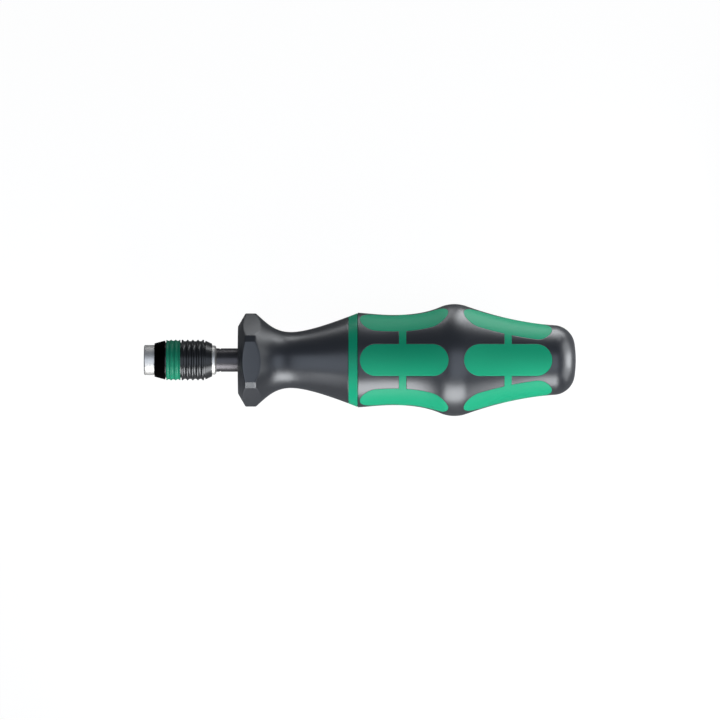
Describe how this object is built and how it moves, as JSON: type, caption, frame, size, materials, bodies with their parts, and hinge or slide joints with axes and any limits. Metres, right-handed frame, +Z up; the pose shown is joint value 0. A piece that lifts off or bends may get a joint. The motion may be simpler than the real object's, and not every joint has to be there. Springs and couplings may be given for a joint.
{
  "type": "torque screwdriver",
  "caption": "Torque screwdriver with a quick-release bit chuck, a hexagon roll-off flange, a waisted two-component handle and a ball detent clutch inside.",
  "frame": {"origin": "on the tool's axis, at the mouth of the hexagon bit socket", "axes": "+X along the tool's axis towards the handle's end, +Z up, with one flat of the flange facing -Z"},
  "size_m": [0.155, 0.0402, 0.0402],
  "materials": {
    "chuck_steel": "fine turned, satin",
    "shaft_steel": "dark turned steel, satin",
    "ball_steel": "polished",
    "spring_steel": "drawn wire",
    "machined_steel": "machined",
    "bronze": "sintered",
    "black_sleeve": "black anodised, satin",
    "black_cap": "matt, deep black",
    "green_ring": "satin",
    "magnet_metal": "nickel plated",
    "plunger_plastic": "matt",
    "black_plastic": "moulded, semi-gloss",
    "green_trim": "satin",
    "green_grip": "soft touch, satin"
  },
  "bodies": {
    "handle": {"front_housing": "black_plastic", "trim_ring": "green_trim", "handle_core": "black_plastic", "front_grip": "green_grip", "rear_grip": "green_grip", "front_bush": "bronze", "rear_bush": "bronze", "clutch_sleeve": "machined_steel", "thrust_washer": "bronze", "main_spring": "spring_steel", "screw_washer": "machined_steel", "rear_plate": "machined_steel", "circlip": "spring_steel"},
    "shaft": {"output_shaft": "shaft_steel", "bit_holder": "chuck_steel", "stop_ring": "chuck_steel", "spring_clip": "spring_steel", "cam_plate": "machined_steel", "cam_clip": "spring_steel", "collar_spring": "spring_steel", "ejector_spring": "spring_steel"},
    "clutch_driver": {"driver_plate": "machined_steel", "clutch_balls": "ball_steel"},
    "setting_nut": {"setting_nut": "machined_steel"},
    "setting_screw": {"setting_screw": "machined_steel"},
    "end_plug": {"end_plug": "black_plastic"},
    "locking_collar": {"locking_collar": "machined_steel"},
    "chuck_sleeve": {"chuck_sleeve": "black_sleeve", "sleeve_ring": "green_ring", "sleeve_cap": "black_cap"},
    "lock_ball_left": {"lock_ball_left": "ball_steel"},
    "lock_ball_right": {"lock_ball_right": "ball_steel"},
    "ejector": {"ejector_plunger": "plunger_plastic", "ejector_magnet": "magnet_metal"}
  },
  "joints": [
    {"name": "clutch_slip", "type": "hinge", "parent": "handle", "child": "shaft", "pos_m": [0, 0, 0], "axis": [1, 0, 0], "continuous": true},
    {"name": "detent_lift", "type": "slide", "parent": "handle", "child": "clutch_driver", "axis": [1, 0, 0], "range_m": [0, 0.0011], "stiffness_N_per_m": 2000, "deforming": ["main_spring"]},
    {"name": "setting_screw_turn", "type": "hinge", "parent": "handle", "child": "setting_screw", "pos_m": [0.13, 0, 0], "axis": [1, 0, 0], "range_deg": [-1080, 1080]},
    {"name": "setting_nut_travel", "type": "slide", "parent": "handle", "child": "setting_nut", "axis": [1, 0, 0], "range_m": [-0.003, 0.003], "deforming": ["main_spring"]},
    {"name": "end_plug_pull", "type": "slide", "parent": "handle", "child": "end_plug", "axis": [1, 0, 0], "range_m": [0, 0.02]},
    {"name": "collar_slide", "type": "slide", "parent": "shaft", "child": "locking_collar", "axis": [-1, 0, 0], "range_m": [0, 0.0026], "stiffness_N_per_m": 800, "springref_m": -0.002, "deforming": ["collar_spring"]},
    {"name": "sleeve_spin", "type": "hinge", "parent": "locking_collar", "child": "chuck_sleeve", "pos_m": [0.014, 0, 0], "axis": [1, 0, 0], "continuous": true},
    {"name": "lock_ball_left_slide", "type": "slide", "parent": "shaft", "child": "lock_ball_left", "axis": [0, 1, 0], "range_m": [0, 0.0004]},
    {"name": "lock_ball_right_slide", "type": "slide", "parent": "shaft", "child": "lock_ball_right", "axis": [0, -1, 0], "range_m": [0, 0.0004]},
    {"name": "ejector_push", "type": "slide", "parent": "shaft", "child": "ejector", "axis": [1, 0, 0], "range_m": [0, 0.0025], "stiffness_N_per_m": 300, "deforming": ["ejector_spring"]}
  ],
  "couplings": [
    {"joint": "setting_screw_turn", "follows": "setting_nut_travel", "rad_per_m": 6283.2},
    {"joint": "lock_ball_left_slide", "follows": "collar_slide", "ratio": 0.15385},
    {"joint": "lock_ball_right_slide", "follows": "collar_slide", "ratio": 0.15385}
  ]
}
